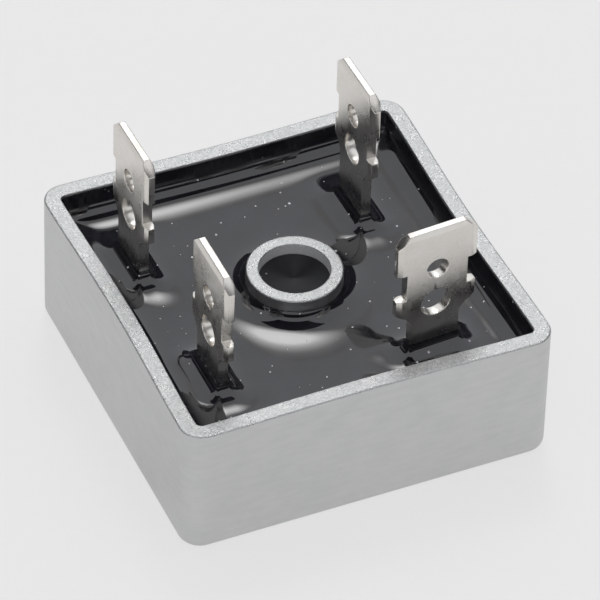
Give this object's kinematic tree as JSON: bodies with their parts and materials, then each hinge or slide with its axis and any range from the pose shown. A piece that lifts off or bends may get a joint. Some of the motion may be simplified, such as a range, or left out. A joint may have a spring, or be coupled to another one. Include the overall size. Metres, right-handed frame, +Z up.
{
  "type": "bridge rectifier",
  "caption": "Square aluminium can filled with glossy black potting, with a screw tube through its middle and flat push-on tabs; turns alternating current into direct current.",
  "frame": {"origin": "middle of the can's flat underside, on the screw tube's axis", "axes": "+Z up out of the underside, towards the tabs; +Y towards the side with the minus tab and one AC tab; the plus tab stands at +X -Y"},
  "size_m": [0.0286, 0.0286, 0.0214],
  "materials": {
    "can_aluminium": "blasted rim and tube, satin sides",
    "black_potting": "glossy cast epoxy with dust specks",
    "tinned_tab": "satin tin plate over brass",
    "insulator": "matt sheet",
    "copper": "rolled copper",
    "silicon": "polished grey",
    "solder": "dull solder"
  },
  "bodies": {
    "root": {"can": "can_aluminium", "potting": "black_potting", "insulating_sheet": "insulator", "minus_tab": "tinned_tab", "ac1_tab": "tinned_tab", "ac2_tab": "tinned_tab", "plus_tab": "tinned_tab", "minus_plate": "copper", "plus_plate": "copper", "ac1_plate": "copper", "ac2_plate": "copper", "die_north": "silicon", "die_east": "silicon", "die_south": "silicon", "die_west": "silicon", "solder_under_north": "solder", "solder_under_east": "solder", "solder_under_south": "solder", "solder_under_west": "solder", "solder_over_north": "solder", "solder_over_east": "solder", "solder_over_south": "solder", "solder_over_west": "solder", "solder_minus": "solder", "solder_ac1": "solder", "solder_ac2": "solder", "solder_plus": "solder"}
  },
  "joints": []
}
